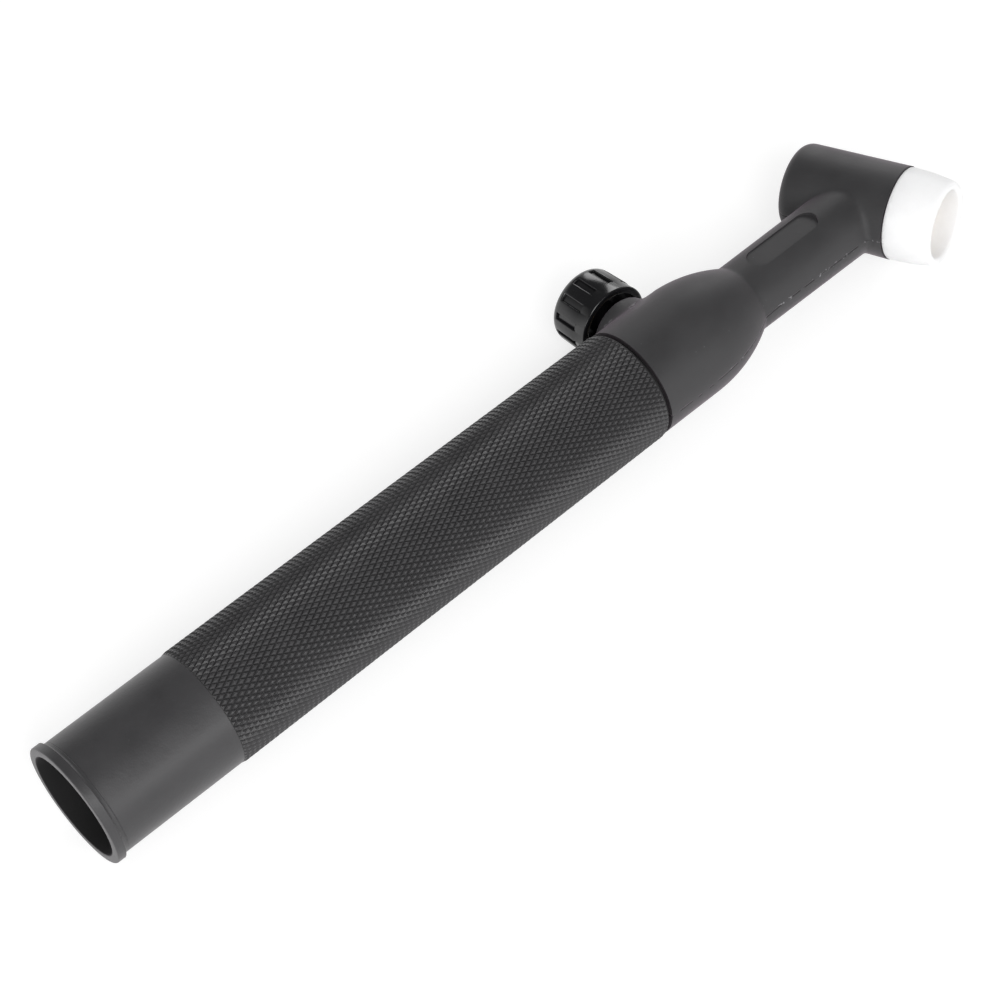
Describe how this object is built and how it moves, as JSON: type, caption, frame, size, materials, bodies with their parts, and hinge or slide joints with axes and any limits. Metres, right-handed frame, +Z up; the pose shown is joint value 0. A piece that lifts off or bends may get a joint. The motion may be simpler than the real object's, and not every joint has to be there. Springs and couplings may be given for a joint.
{
  "type": "tig torch",
  "caption": "Air-cooled gas-tungsten arc torch body: knurled tube handle, angled rubber-covered head with bare sockets and a white gasket, and a gas valve with a lobed knob.",
  "frame": {"origin": "under the middle of the torch as it lies on a bench, on the bench surface", "axes": "+X along the handle towards the head, +Z up from the bench, +Y to the side the valve knob points to; the torch lies on its handle lip and on the edge of the knob, as in the picture"},
  "size_m": [0.2872, 0.059, 0.0338],
  "materials": {
    "jacket_rubber": "matt moulded",
    "handle_nylon": "diamond knurl, satin tail",
    "knob_plastic": "glossy",
    "white_ptfe": "smooth white",
    "brass": "machined",
    "copper": "drawn copper tube",
    "zinc_steel": "zinc plated",
    "seal_rubber": "smooth",
    "seal_washer": "plain"
  },
  "bodies": {
    "torch_body": {"rubber_jacket": "jacket_rubber", "head_barrel": "brass", "neck_tube": "copper", "valve_block": "brass", "tail_tube": "copper", "cable_stud": "brass", "gland_washer": "seal_washer", "gland_nut": "brass"},
    "handle": {"handle": "handle_nylon"},
    "gasket": {"cup_gasket": "white_ptfe"},
    "stem_rings": {"stem_ring_lower": "seal_rubber", "stem_ring_upper": "seal_rubber"},
    "knob": {"valve_stem": "brass", "valve_knob": "knob_plastic", "lock_washer": "zinc_steel", "knob_screw": "zinc_steel", "knob_cap": "knob_plastic"}
  },
  "joints": [
    {"name": "handle_slide", "type": "slide", "parent": "torch_body", "child": "handle", "axis": [-1, 0, 0], "range_m": [0, 0.07]},
    {"name": "gasket_pull", "type": "slide", "parent": "torch_body", "child": "gasket", "axis": [0.3148, -0.9295, 0.192], "range_m": [0, 0.006]},
    {"name": "valve_travel", "type": "slide", "parent": "torch_body", "child": "stem_rings", "axis": [0, 0.9793, -0.2023], "range_m": [0, 0.00176]},
    {"name": "valve_turn", "type": "hinge", "parent": "stem_rings", "child": "knob", "pos_m": [0.05008, 0.01919, 0.01203], "axis": [0, 0.9793, -0.2023], "range_deg": [0, 630]}
  ],
  "couplings": [
    {"joint": "valve_travel", "follows": "valve_turn", "m_per_rad": 0.00015915}
  ]
}
